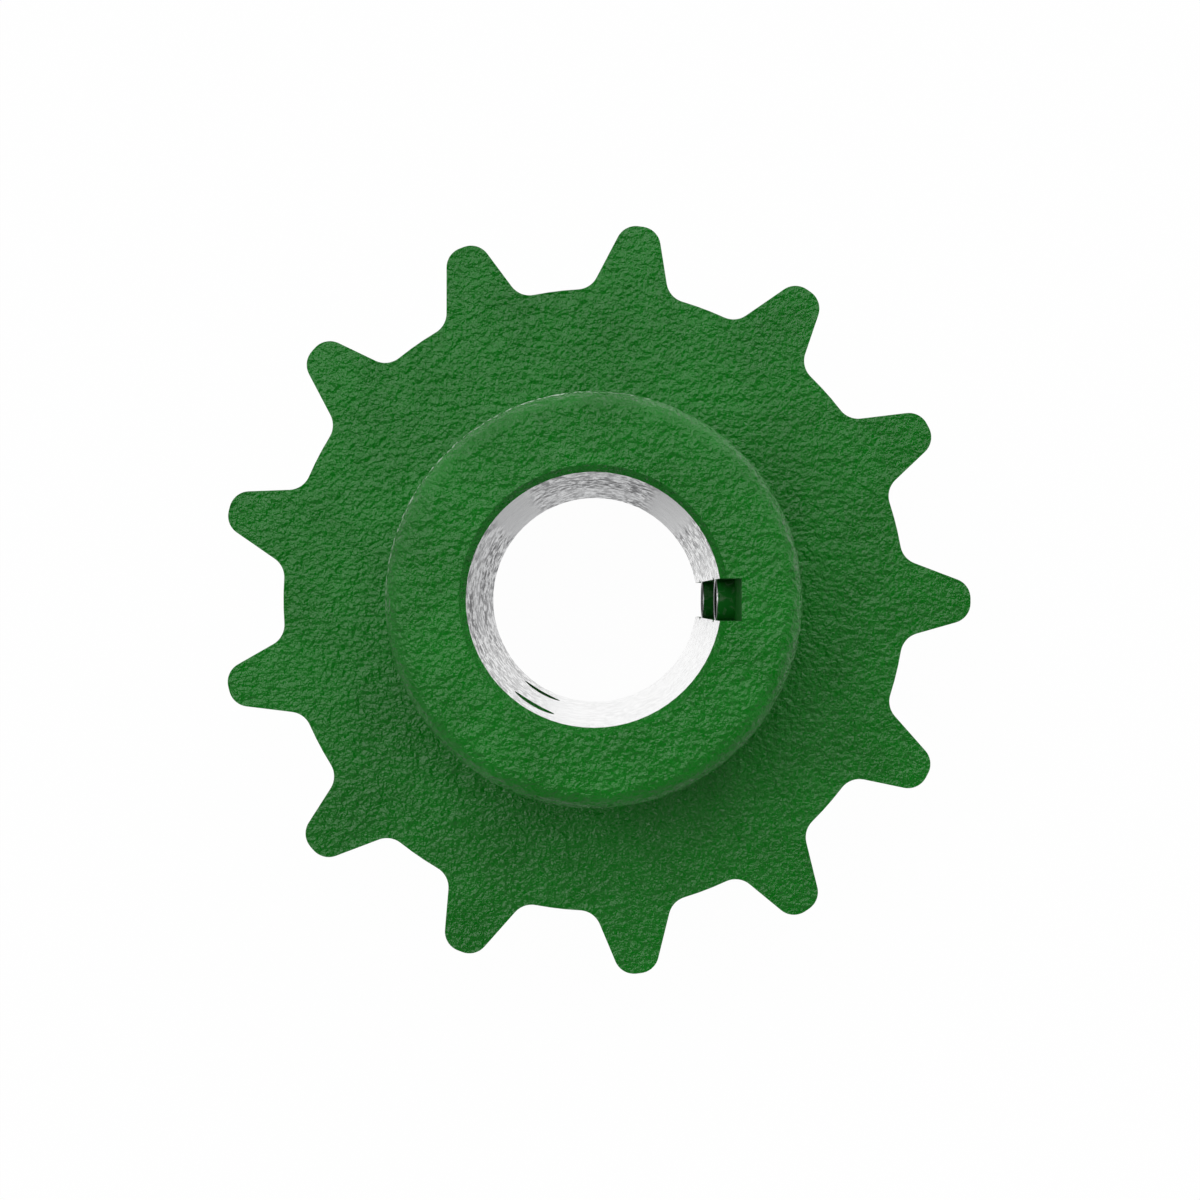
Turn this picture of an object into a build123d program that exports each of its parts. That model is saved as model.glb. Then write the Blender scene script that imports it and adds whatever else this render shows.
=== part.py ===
from build123d import *
import math
import os

# Cast chain sprocket with a long round hub. The bore is keyed, and four socket set screws
# hold the hub on its shaft: two over the keyway and two a third of a turn from it.
# The bore axis is Z and the origin is on it, at the middle of the tooth plate.
# The keyway is cut on the +X side, under the middle of one tooth. All sizes are in mm.

# Tooth plate
tooth_count = 13
plate_thickness = 15.875
root_diameter = 153.67  # across the bottoms of the gaps, where the chain's barrels rest
tip_diameter = 186.0
tooth_width = 13.74  # across the flanks, halfway up the tooth
steep_flank_angle = 15.9  # from the tooth's centre line, on the clockwise side
slack_flank_angle = 20.8  # from the tooth's centre line, on the other side
root_fillet = 5.5
tip_round = 5.0
tip_round_share = 0.65  # most of the tooth's width at the tip that the radius of a round may be

# Hub
hub_diameter = 94.0
hub_length = 98.4
hub_edge_radius = 4.75
hub_foot_bevel = 4.0  # where the hub meets the tooth plate
bore_diameter = 57.15
bore_chamfer = 1.5

# Keyway
keyway_width = 9.525
keyway_depth = 4.365  # from the bore's wall to the floor, on the keyway's centre line

# Set screws
screw_diameter = 10.6
screw_length = 15.875
screw_hole_clearance = 0.058  # each side, in place of the thread
screw_spread = 26.2  # from the middle of the plate to each screw
side_screw_angle = 240.0  # of the pair that is away from the keyway
bore_clearance = 0.025  # the keyway pair ends this far outside the bore's wall
side_screw_recess = 1.2  # the other pair ends this far outside it
cup_rim = 0.35  # width of the flat rim left around the cup
cup_angle = 118.0  # across the cup's cone
socket_across_flats = 6.35
socket_depth = 6.5

overrun = 2.0  # flanks and holes run this far past the surface that trims them
near = 0.01  # how close an edge or corner lies to the radius that picks it out

root_radius = root_diameter / 2
tip_radius = tip_diameter / 2
hub_radius = hub_diameter / 2
bore_radius = bore_diameter / 2
screw_radius = screw_diameter / 2
screw_hole_radius = screw_radius + screw_hole_clearance
keyway_floor = bore_radius + keyway_depth
cup_radius = screw_radius - cup_rim
cup_depth = cup_radius / math.tan(math.radians(cup_angle / 2))

# A tooth's flanks are straight, from inside the root circle to just past the tips
mid_radius = (root_radius + tip_radius) / 2


def flank_point(radius, angle, side):
    half_width = tooth_width / 2 - (radius - mid_radius) * math.tan(math.radians(angle))
    return Vector(radius, side * half_width)


steep_tip = flank_point(tip_radius, steep_flank_angle, -1)
slack_tip = flank_point(tip_radius, slack_flank_angle, 1)
tip_width = (slack_tip - steep_tip).length

with BuildSketch() as tooth:
    Polygon(
        flank_point(hub_radius, steep_flank_angle, -1),
        flank_point(tip_radius + overrun, steep_flank_angle, -1),
        flank_point(tip_radius + overrun, slack_flank_angle, 1),
        flank_point(hub_radius, slack_flank_angle, 1),
        align=None,
    )
    Circle(tip_radius, mode=Mode.INTERSECT)
    fillet(
        tooth.vertices().sort_by(Axis.X)[-2:],
        radius=min(tip_round, tip_round_share * tip_width),
    )

with BuildPart() as sprocket:
    with BuildSketch() as plate_outline:
        Circle(root_radius)
        with PolarLocations(0, tooth_count):
            add(tooth.sketch)
        root_corners = plate_outline.vertices().filter_by(
            lambda v: abs(math.hypot(v.X, v.Y) - root_radius) < near
        )
        fillet(root_corners, radius=root_fillet)
    extrude(amount=plate_thickness / 2, both=True)

    Cylinder(hub_radius, hub_length)
    round_edges = sprocket.edges().filter_by(GeomType.CIRCLE)
    hub_edges = round_edges.filter_by(lambda e: abs(e.radius - hub_radius) < near)
    back_rim, back_foot, front_foot, front_rim = hub_edges.sort_by(Axis.Z)
    chamfer([back_foot, front_foot], length=hub_foot_bevel)
    fillet([back_rim, front_rim], radius=hub_edge_radius)

    Cylinder(bore_radius, hub_length, mode=Mode.SUBTRACT)
    bore_rims = sprocket.edges().filter_by(GeomType.CIRCLE).filter_by(
        lambda e: abs(e.radius - bore_radius) < near
    )
    chamfer(bore_rims, length=bore_chamfer)

    Box(
        keyway_floor,
        keyway_width,
        hub_length,
        align=(Align.MIN, Align.CENTER, Align.CENTER),
        mode=Mode.SUBTRACT,
    )

    for angle in (0.0, side_screw_angle):
        for height in (screw_spread, -screw_spread):
            outward = Location((0, 0, height)) * Rotation(0, 0, angle) * Rotation(0, 90, 0)
            with Locations(outward):
                Cylinder(
                    screw_hole_radius,
                    hub_radius + overrun,
                    align=(Align.CENTER, Align.CENTER, Align.MIN),
                    mode=Mode.SUBTRACT,
                )

sprocket.part.label = "sprocket"

# One set screw, standing on its cup end
with BuildPart() as set_screw:
    Cylinder(
        screw_radius, screw_length, align=(Align.CENTER, Align.CENTER, Align.MIN)
    )
    Cone(
        cup_radius,
        0,
        cup_depth,
        align=(Align.CENTER, Align.CENTER, Align.MIN),
        mode=Mode.SUBTRACT,
    )
    with BuildSketch(Plane.XY.offset(screw_length)):
        RegularPolygon(socket_across_flats / 2, 6, major_radius=False)
    extrude(amount=-socket_depth, mode=Mode.SUBTRACT)

os.makedirs("parts", exist_ok=True)
export_step(sprocket.part, "parts/sprocket.step")

screw_places = {
    "key_screw_front": (0.0, screw_spread, bore_radius + bore_clearance),
    "key_screw_back": (0.0, -screw_spread, bore_radius + bore_clearance),
    "side_screw_front": (side_screw_angle, screw_spread, bore_radius + side_screw_recess),
    "side_screw_back": (side_screw_angle, -screw_spread, bore_radius + side_screw_recess),
}
for screw_name, (angle, height, inner_end) in screw_places.items():
    place = (
        Location((0, 0, height))
        * Rotation(0, 0, angle)
        * Location((inner_end, 0, 0))
        * Rotation(0, 90, 0)
    )
    with BuildPart() as placed_screw:
        with Locations(place):
            add(set_screw.part)
    placed_screw.part.label = screw_name
    export_step(placed_screw.part, f"parts/{screw_name}.step")
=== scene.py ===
import math
import bpy
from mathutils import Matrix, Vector


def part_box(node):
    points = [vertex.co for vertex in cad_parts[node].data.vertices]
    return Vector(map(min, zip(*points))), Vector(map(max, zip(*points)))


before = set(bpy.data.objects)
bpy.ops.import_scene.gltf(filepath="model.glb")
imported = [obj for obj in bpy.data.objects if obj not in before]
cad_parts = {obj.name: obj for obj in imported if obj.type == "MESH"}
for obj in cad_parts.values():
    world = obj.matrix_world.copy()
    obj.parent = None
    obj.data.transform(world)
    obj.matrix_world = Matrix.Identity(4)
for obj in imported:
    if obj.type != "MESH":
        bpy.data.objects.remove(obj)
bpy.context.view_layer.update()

UP = (0.0, 0.0, 1.0)

# Sizes that the finishes follow, in metres
BORE_RADIUS = 0.028575
BORE_CHAMFER = 0.0015
HUB_LOW, HUB_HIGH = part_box("sprocket")
FRONT_FACE = HUB_HIGH.z
BACK_FACE = HUB_LOW.z
KEYWAY_HALF_WIDTH = 0.0047625
KEYWAY_FLOOR = 0.03294
KEY_SCREW_LOW, KEY_SCREW_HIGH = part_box("key_screw_front")
SCREW_RADIUS = (KEY_SCREW_HIGH.y - KEY_SCREW_LOW.y) / 2
SCREW_SPREAD = (KEY_SCREW_HIGH.z + KEY_SCREW_LOW.z) / 2
KEY_SCREW_END = KEY_SCREW_LOW.x
SIDE_SCREW_RECESS = 0.0012  # how far outside the bore's wall the side screws end
SIDE_SCREW_END = BORE_RADIUS + SIDE_SCREW_RECESS
SIDE_SCREW_ANGLE = math.radians(240)
CUP_RADIUS = 0.00495
SKIN = 0.00004  # how far from a surface a point may lie and still count as on it
WALL_LEAN = 0.1  # how far an upright wall's normal may lean out of level, as a sine

# The sprocket's material slots
PAINTED, BORED, KEYWAY = range(3)

# How deep the relief of each finish is
PAINT_RELIEF = 0.00075
KEYWAY_RELIEF = 0.0002
SCREW_RELIEF = 0.0001
RING_RELIEF = 0.0001

# Painted glint: pale specks near the hub's front edge, on one side only, standing in for light
# glinting there: the height of their band, how far above and below it they are full and gone, and
# how far out along that side they start and are full
GLINT_BELOW_FACE = 0.0033
GLINT_HEIGHT = FRONT_FACE - GLINT_BELOW_FACE
GLINT_FULL = 0.0003
GLINT_GONE = 0.001
GLINT_SIDE = (-0.62, 0.79, 0.0)
GLINT_SIDE_START = 0.022
GLINT_SIDE_FULL = 0.04

# Bare metal of the bore: the side painted brightest as the lit side, the two places where its marks
# are rubbed smooth, and how far marks are drawn out and rings pressed together along the bore
LIT_BORE_SIDE = math.radians(298)
SMOOTH_BORE = (math.radians(50), math.radians(132))
MARKS_ALONG = 0.45
RINGS_ALONG = 12.0

# Bare metal round the inner end of a screw: how far it runs up the side and down the cup
BARE_SIDE = 0.0003
BARE_CUP = 0.00023

# Camera: on the photograph's side, looking straight down the bore
CAMERA_ABOVE_FACE = 0.3707
CAMERA_RIGHT = 0.0014
CAMERA_DOWN = 0.00005

# Surroundings: which way they are bright, how bright at their two sides, and how far the
# change from one to the other spreads, as a cosine
WORLD_BRIGHT_SIDE = (0.5, 0.87, 0.0)
WORLD_DIM = 0.48
WORLD_BRIGHT = 0.76
WORLD_SPREAD = 0.6

# What is left of that above, where the camera stands, and the two heights between which it
# fades, as sines of the elevation
WORLD_ABOVE = 0.0
WORLD_FADE_START = 0.55
WORLD_FADE_END = 0.9

# Floor: half its width, and the share of it that glows instead of taking the shadow
FLOOR_HALF = 3.0
FLOOR_GLOW = 0.98

# The floor in reflections: plain white up to FLOOR_NEAR from the middle. Past FLOOR_FAR it is
# dim up to one place along the direction of its bright side, and bright from another place on
FLOOR_NEAR = 0.1
FLOOR_FAR = 0.16
FLOOR_BRIGHT_SIDE = (0.26, 0.97, 0.0)
FLOOR_DIM = 0.45
FLOOR_DIM_PLACE = -0.08
FLOOR_BRIGHT = 1.25
FLOOR_BRIGHT_PLACE = 0.16


# Colours

def srgb(red, green, blue):
    """A colour as it looks on screen, 0 to 255, as the linear value that a shader takes."""
    def linear(value):
        value = value / 255
        return value / 12.92 if value <= 0.04045 else ((value + 0.055) / 1.055) ** 2.4
    return (linear(red), linear(green), linear(blue), 1.0)


WHITE = srgb(255, 255, 255)
DEEP_GREEN = srgb(4, 101, 14)
LEAF_GREEN = srgb(8, 111, 20)
KEYWAY_GREEN = srgb(8, 106, 22)
SCREW_GREEN = srgb(8, 92, 20)
# Pale green painted on as a reflection on the dull paint of the keyway and screws
PAINTED_SHEEN_GREEN = srgb(88, 114, 86)
# Pale green-white specks painted on as a glint
GLINT_WHITE = srgb(170, 192, 171)
PALE_RING = srgb(226, 227, 228)
DARK_RING = srgb(170, 171, 172)
MARK_GREY = srgb(120, 121, 124)
MARK_SHEEN = srgb(162, 162, 162)
# Near-black colours of the screws' ends
NEAR_BLACK = srgb(6, 8, 7)
BLACKISH_GREY = srgb(14, 16, 15)
DULL_STEEL = srgb(205, 206, 208)
CLEAN_STEEL = srgb(240, 240, 240)
MATTE_WHITE = (0.8, 0.8, 0.8, 1.0)


# Node helpers

class Nodes:
    """Makes the shader nodes of one material or world, and joins them."""

    def __init__(self, owner):
        owner.use_nodes = True
        self.owner = owner
        self.tree = owner.node_tree
        self.tree.nodes.clear()

    def add(self, kind, inputs=None, **settings):
        """A node, with each of its inputs joined to another node's output or set to a value."""
        node = self.tree.nodes.new(kind)
        for key, value in settings.items():
            setattr(node, key, value)
        for key, value in (inputs or {}).items():
            if isinstance(value, bpy.types.NodeSocket):
                self.tree.links.new(value, node.inputs[key])
            else:
                node.inputs[key].default_value = value
        return node

    def place(self):
        """Where a point of the surface is, in metres from the middle of the part."""
        return self.add("ShaderNodeTexCoord").outputs["Object"]

    def math(self, operation, *values):
        inputs = dict(enumerate(values))
        return self.add("ShaderNodeMath", inputs, operation=operation).outputs[0]

    def vector(self, operation, *values):
        inputs = dict(enumerate(values))
        return self.add("ShaderNodeVectorMath", inputs, operation=operation).outputs["Vector"]

    def measure(self, operation, *values):
        """A length or a dot product."""
        inputs = dict(enumerate(values))
        return self.add("ShaderNodeVectorMath", inputs, operation=operation).outputs["Value"]

    def remap(self, value, low, high, to_low=0.0, to_high=1.0):
        """A value that runs from low to high, made to run from to_low to to_high and no further."""
        inputs = {
            "Value": value,
            "From Min": low,
            "From Max": high,
            "To Min": to_low,
            "To Max": to_high,
        }
        return self.add("ShaderNodeMapRange", inputs, clamp=True).outputs["Result"]

    def blend(self, factor, first, second):
        """A number between two others: the first at factor 0 and the second at factor 1."""
        return self.remap(factor, 0.0, 1.0, first, second)

    def mix(self, factor, first, second):
        """A colour between two others."""
        inputs = {0: factor, 6: first, 7: second}
        return self.add("ShaderNodeMix", inputs, data_type="RGBA").outputs[2]

    def noise(self, where, scale, detail=2.0, roughness=0.5, distortion=0.0):
        inputs = {
            "Vector": where,
            "Scale": scale,
            "Detail": detail,
            "Roughness": roughness,
            "Distortion": distortion,
        }
        return self.add("ShaderNodeTexNoise", inputs).outputs["Fac"]

    def bump(self, height, distance):
        inputs = {"Height": height, "Distance": distance}
        return self.add("ShaderNodeBump", inputs).outputs["Normal"]

    def blend_shaders(self, factor, first, second):
        inputs = {0: factor, 1: first.outputs[0], 2: second.outputs[0]}
        return self.add("ShaderNodeMixShader", inputs)

    def finish(self, shader, output="ShaderNodeOutputMaterial"):
        self.add(output, {"Surface": shader.outputs[0]})
        return self.owner


# Finishes

def cast_paint():
    """Green paint over a rough casting, with pale specks painted round part of the hub's front edge
    as a glint.

    The casting's leathery ridges are about one millimetre across and its hollows nearly three.
    """
    nodes = Nodes(bpy.data.materials.new("green_paint"))
    place = nodes.place()

    ridges = nodes.noise(place, scale=870.0, detail=2.0, roughness=0.55, distortion=0.1)
    hollows = nodes.noise(place, scale=380.0, detail=1.0)
    relief = nodes.math("ADD", hollows, ridges)
    patches = nodes.noise(place, scale=60.0, detail=3.0)
    colour = nodes.mix(nodes.remap(patches, 0.35, 0.65), DEEP_GREEN, LEAF_GREEN)

    # Painted glint: pale specks in a band round the hub's front edge, on the side the light comes
    # from
    height = nodes.measure("DOT_PRODUCT", place, UP)
    off_band = nodes.math("ABSOLUTE", nodes.math("SUBTRACT", height, GLINT_HEIGHT))
    band = nodes.remap(off_band, GLINT_FULL, GLINT_GONE, 1.0, 0.0)
    sideways = nodes.measure("DOT_PRODUCT", place, GLINT_SIDE)
    glint_side_mask = nodes.remap(sideways, GLINT_SIDE_START, GLINT_SIDE_FULL)
    specks = nodes.remap(nodes.noise(place, scale=800.0, detail=2.0), 0.47, 0.6)
    painted_glint = nodes.math("MULTIPLY", nodes.math("MULTIPLY", band, glint_side_mask), specks)

    shader = nodes.add("ShaderNodeBsdfPrincipled", {
        "Base Color": nodes.mix(painted_glint, colour, GLINT_WHITE),
        "Roughness": nodes.remap(ridges, 0.3, 0.7, 0.08, 0.11),
        "Normal": nodes.bump(relief, PAINT_RELIEF),
        "IOR": 1.39,
    })
    return nodes.finish(shader)


def smudge_pattern(nodes):
    """Cloudy smudges, a few millimetres across."""
    return nodes.noise(nodes.place(), scale=420.0, detail=4.0, roughness=0.65, distortion=1.0)


def green_with_painted_sheen(nodes, smudges, green):
    """A green with pale smudges painted on as a reflection where it is smudged most."""
    return nodes.mix(nodes.remap(smudges, 0.52, 0.78), green, PAINTED_SHEEN_GREEN)


def keyway_paint():
    """Paint that ran into the keyway: dark and dull, with pale smudges painted on as a reflection.
    """
    nodes = Nodes(bpy.data.materials.new("keyway_paint"))
    smudges = smudge_pattern(nodes)
    shader = nodes.add("ShaderNodeBsdfPrincipled", {
        "Base Color": green_with_painted_sheen(nodes, smudges, KEYWAY_GREEN),
        "Roughness": nodes.remap(smudges, 0.3, 0.7, 0.7, 0.85),
        "Normal": nodes.bump(smudges, KEYWAY_RELIEF),
        "Specular IOR Level": 0.1,
    })
    return nodes.finish(shader)


def bored_steel():
    """Bare bored steel with painted light and shade: coloured white as lit on one side, and darker
    grey with rings and dark marks as shaded on the other.

    The marks are short and thin, and two patches are rubbed smoother.
    """
    nodes = Nodes(bpy.data.materials.new("bored_steel"))
    place = nodes.place()

    def facing(angle):
        """1 on the side of the bore at this angle, and -1 on the side across from it."""
        across = (math.cos(angle) / BORE_RADIUS, math.sin(angle) / BORE_RADIUS, 0.0)
        return nodes.measure("DOT_PRODUCT", place, across)

    side = facing(LIT_BORE_SIDE)
    # Painted light and shade: 1 on the side away from the light, where the colour is painted darker
    # and the metal is rougher
    dull = nodes.remap(side, -0.5, 0.8, 1.0, 0.0)

    # Fine rings that the boring tool left
    pressed = nodes.vector("MULTIPLY", place, (1.0, 1.0, RINGS_ALONG))
    rings = nodes.noise(pressed, scale=250.0, detail=2.0)
    ringed = nodes.mix(nodes.remap(rings, 0.4, 0.6), PALE_RING, DARK_RING)
    metal = nodes.mix(dull, WHITE, ringed)

    # Dark marks, worn away here and there, painted faint on the lit side and even on the patches
    drawn_out = nodes.vector("MULTIPLY", place, (1.0, 1.0, MARKS_ALONG))
    marked = nodes.noise(drawn_out, scale=550.0, detail=2.0, roughness=0.7)
    worn = nodes.remap(nodes.noise(place, scale=40.0, detail=1.0), 0.38, 0.6, 0.6, 1.0)
    marks = nodes.math("MULTIPLY", nodes.remap(marked, 0.42, 0.58), worn)
    marks = nodes.math("MULTIPLY", marks, nodes.remap(side, -0.1, 0.7, 1.0, 0.12))
    patches = [nodes.remap(facing(angle), 0.972, 0.993) for angle in SMOOTH_BORE]
    marks = nodes.blend(nodes.math("MAXIMUM", *patches), marks, 0.3)

    shader = nodes.add("ShaderNodeBsdfPrincipled", {
        "Base Color": nodes.mix(marks, metal, MARK_GREY),
        "Specular Tint": nodes.mix(marks, WHITE, MARK_SHEEN),
        "Metallic": 1.0,
        "Roughness": nodes.blend(dull, 0.06, 0.36),
        "Normal": nodes.bump(rings, RING_RELIEF),
    })
    return nodes.finish(shader)


def screw_finish(name, out, height, inner_end):
    """A set screw: dull green sides with pale smudges painted on as a reflection, a black cup and
    socket, and bare metal round its inner end.

    Out is the way from the bore to the screw, and inner_end is how far out the screw starts.
    """
    nodes = Nodes(bpy.data.materials.new(name))
    from_middle = nodes.vector("SUBTRACT", nodes.place(), (0.0, 0.0, height))
    along = nodes.measure("DOT_PRODUCT", from_middle, out)
    on_axis = nodes.vector("MULTIPLY", out, along)
    off_axis = nodes.measure("LENGTH", nodes.vector("SUBTRACT", from_middle, on_axis))

    in_cup = nodes.math("LESS_THAN", off_axis, SCREW_RADIUS - SKIN)
    near_side = nodes.math("LESS_THAN", along, inner_end + BARE_SIDE)
    near_edge = nodes.math("GREATER_THAN", off_axis, CUP_RADIUS - BARE_CUP)
    bare = nodes.math("MULTIPLY", near_side, near_edge)

    smudges = smudge_pattern(nodes)
    painted = green_with_painted_sheen(nodes, smudges, SCREW_GREEN)
    # The screw's ends are coloured near black, a little greyer where the smudges are
    black_ends = nodes.mix(smudges, NEAR_BLACK, BLACKISH_GREY)
    bright = nodes.mix(smudges, DULL_STEEL, CLEAN_STEEL)
    shader = nodes.add("ShaderNodeBsdfPrincipled", {
        "Base Color": nodes.mix(bare, nodes.mix(in_cup, painted, black_ends), bright),
        "Metallic": bare,
        "Roughness": nodes.blend(bare, 0.75, 0.4),
        "Normal": nodes.bump(smudges, SCREW_RELIEF),
        "Specular IOR Level": 0.1,
    })
    return nodes.finish(shader)


# Which faces of the casting take which finish

def sprocket_face(centre, normal):
    """The material slot of a face: the bored wall, the keyway or the painted casting."""
    if abs(normal.z) >= WALL_LEAN:
        return PAINTED
    radius = math.hypot(centre.x, centre.y)
    if radius < BORE_RADIUS + SKIN and abs(centre.z) < FRONT_FACE - BORE_CHAMFER + SKIN:
        return BORED
    outside_bore = radius > BORE_RADIUS - SKIN and 0 < centre.x < KEYWAY_FLOOR + SKIN
    if outside_bore and abs(centre.y) < KEYWAY_HALF_WIDTH + SKIN:
        return KEYWAY
    return PAINTED


def dress_sprocket():
    finishes = {PAINTED: cast_paint(), BORED: bored_steel(), KEYWAY: keyway_paint()}
    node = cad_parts["sprocket"]
    node.data.materials.clear()
    for slot in sorted(finishes):
        node.data.materials.append(finishes[slot])
    for face in node.data.polygons:
        face.material_index = sprocket_face(face.center, face.normal)


def dress_screws():
    pairs = {"key": (0.0, KEY_SCREW_END), "side": (SIDE_SCREW_ANGLE, SIDE_SCREW_END)}
    for pair, (angle, inner_end) in pairs.items():
        out = (math.cos(angle), math.sin(angle), 0.0)
        for end, height in (("front", SCREW_SPREAD), ("back", -SCREW_SPREAD)):
            name = f"{pair}_screw_{end}"
            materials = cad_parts[name].data.materials
            materials.clear()
            materials.append(screw_finish(name, out, height, inner_end))


# Floor, lights and camera

def floor_finish():
    """White, with the object's shadow left faint.

    In reflections its far parts are brighter on one side and dimmer across from it.
    """
    nodes = Nodes(bpy.data.materials.new("floor_white"))
    path = nodes.add("ShaderNodeLightPath")
    seen = nodes.math("MAXIMUM", path.outputs["Is Camera Ray"], path.outputs["Is Glossy Ray"])
    seen = nodes.math("MAXIMUM", seen, path.outputs["Is Transmission Ray"])

    place = nodes.place()
    sideways = nodes.measure("DOT_PRODUCT", place, FLOOR_BRIGHT_SIDE)
    side = nodes.remap(sideways, FLOOR_DIM_PLACE, FLOOR_BRIGHT_PLACE, FLOOR_DIM, FLOOR_BRIGHT)
    far_off = nodes.remap(nodes.measure("LENGTH", place), FLOOR_NEAR, FLOOR_FAR)
    mirrored = nodes.blend(far_off, 1.0, side)
    strength = nodes.blend(path.outputs["Is Camera Ray"], mirrored, 1.0)

    matte = nodes.add("ShaderNodeBsdfDiffuse", {"Color": MATTE_WHITE})
    glow = nodes.add("ShaderNodeEmission", {"Color": WHITE, "Strength": strength})
    shown = nodes.blend_shaders(FLOOR_GLOW, matte, glow)
    return nodes.finish(nodes.blend_shaders(seen, matte, shown))


def make_floor():
    """A square floor that the hub's back face stands on."""
    mesh = bpy.data.meshes.new("floor")
    corners = [
        (x * FLOOR_HALF, y * FLOOR_HALF, BACK_FACE)
        for x, y in ((-1, -1), (1, -1), (1, 1), (-1, 1))
    ]
    mesh.from_pydata(corners, [], [(0, 1, 2, 3)])
    mesh.materials.append(floor_finish())
    floor = bpy.data.objects.new("floor", mesh)
    bpy.context.scene.collection.objects.link(floor)


def soft_light(name, azimuth, elevation, width, strength):
    """A wide far-off light. Azimuth 0 is +X and 90 is +Y; the angles are in degrees."""
    around = math.radians(azimuth)
    upward = math.radians(elevation)
    outward = math.cos(upward)
    towards = Vector((math.cos(around) * outward, math.sin(around) * outward, math.sin(upward)))
    data = bpy.data.lights.new(name, "SUN")
    data.angle = math.radians(width)
    data.energy = strength
    light = bpy.data.objects.new(name, data)
    light.rotation_euler = towards.to_track_quat("Z", "Y").to_euler()
    bpy.context.scene.collection.objects.link(light)


def make_world():
    """Pale surroundings, brighter on one side and dark above, and plain white to the camera."""
    world = bpy.data.worlds.new("surroundings")
    bpy.context.scene.world = world
    nodes = Nodes(world)
    towards = nodes.add("ShaderNodeTexCoord").outputs["Generated"]
    sideways = nodes.measure("DOT_PRODUCT", towards, WORLD_BRIGHT_SIDE)
    side = nodes.remap(sideways, -WORLD_SPREAD, WORLD_SPREAD, WORLD_DIM, WORLD_BRIGHT)
    upward = nodes.measure("DOT_PRODUCT", towards, UP)
    above = nodes.remap(upward, WORLD_FADE_START, WORLD_FADE_END, 1.0, WORLD_ABOVE)
    strength = nodes.math("MULTIPLY", side, above)

    light = nodes.add("ShaderNodeBackground", {"Color": WHITE, "Strength": strength})
    backdrop = nodes.add("ShaderNodeBackground", {"Color": WHITE, "Strength": 1.0})
    camera_ray = nodes.add("ShaderNodeLightPath").outputs["Is Camera Ray"]
    shown = nodes.blend_shaders(camera_ray, light, backdrop)
    nodes.finish(shown, "ShaderNodeOutputWorld")


def make_camera():
    data = bpy.data.cameras.new("camera")
    data.lens = 50
    data.sensor_width = 36
    data.clip_start = 0.01
    camera = bpy.data.objects.new("camera", data)
    camera.location = (CAMERA_RIGHT, -CAMERA_DOWN, FRONT_FACE + CAMERA_ABOVE_FACE)
    bpy.context.scene.collection.objects.link(camera)
    bpy.context.scene.camera = camera


dress_sprocket()
dress_screws()
make_floor()
soft_light("key_light", azimuth=134, elevation=64, width=56, strength=1.78)
soft_light("side_light", azimuth=60, elevation=30, width=34, strength=0.6)
make_world()
make_camera()

bpy.context.scene.view_settings.view_transform = "Standard"
